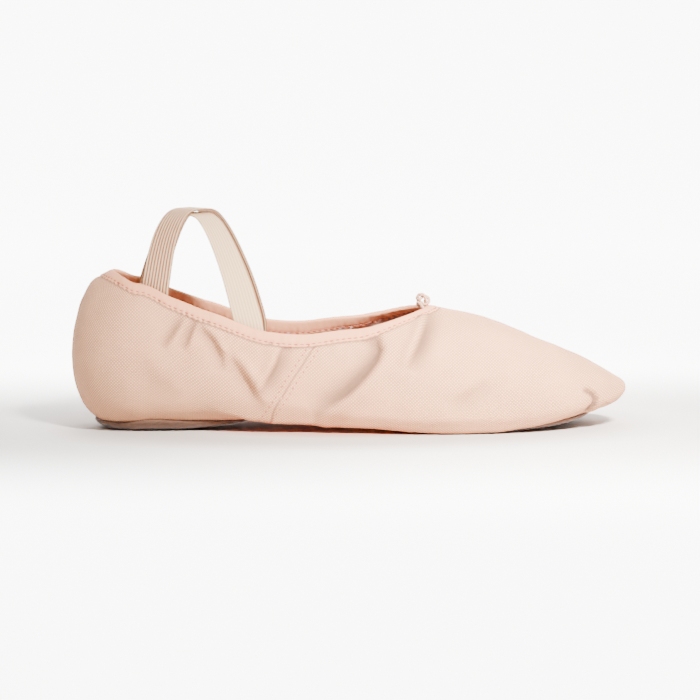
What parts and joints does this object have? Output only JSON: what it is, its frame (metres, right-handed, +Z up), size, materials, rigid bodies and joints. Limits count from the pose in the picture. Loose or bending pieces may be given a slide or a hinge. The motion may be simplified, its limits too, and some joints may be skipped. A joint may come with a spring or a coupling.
{
  "type": "ballet shoe",
  "caption": "Soft canvas ballet slipper with a split suede sole, a drawstring collar tied at the throat and crossed elastic straps.",
  "frame": {"origin": "on the floor, under the middle of the shoe's length and width", "axes": "+X from heel to toe, +Z up, +Y to the shoe's left side"},
  "size_m": [0.235, 0.077, 0.0927],
  "materials": {
    "canvas": "matt cotton canvas",
    "tape": "folded cotton tape",
    "elastic": "ribbed flat elastic",
    "cord": "thin braided cord",
    "suede": "napped suede",
    "lining": "cotton lining pad"
  },
  "bodies": {
    "root": {"upper": "canvas", "collar_binding": "tape", "strap_over": "elastic", "strap_under": "elastic", "drawstring": "cord", "sole_heel": "suede", "sole_forefoot": "suede", "insole_heel": "lining", "insole_forefoot": "lining"}
  },
  "joints": []
}
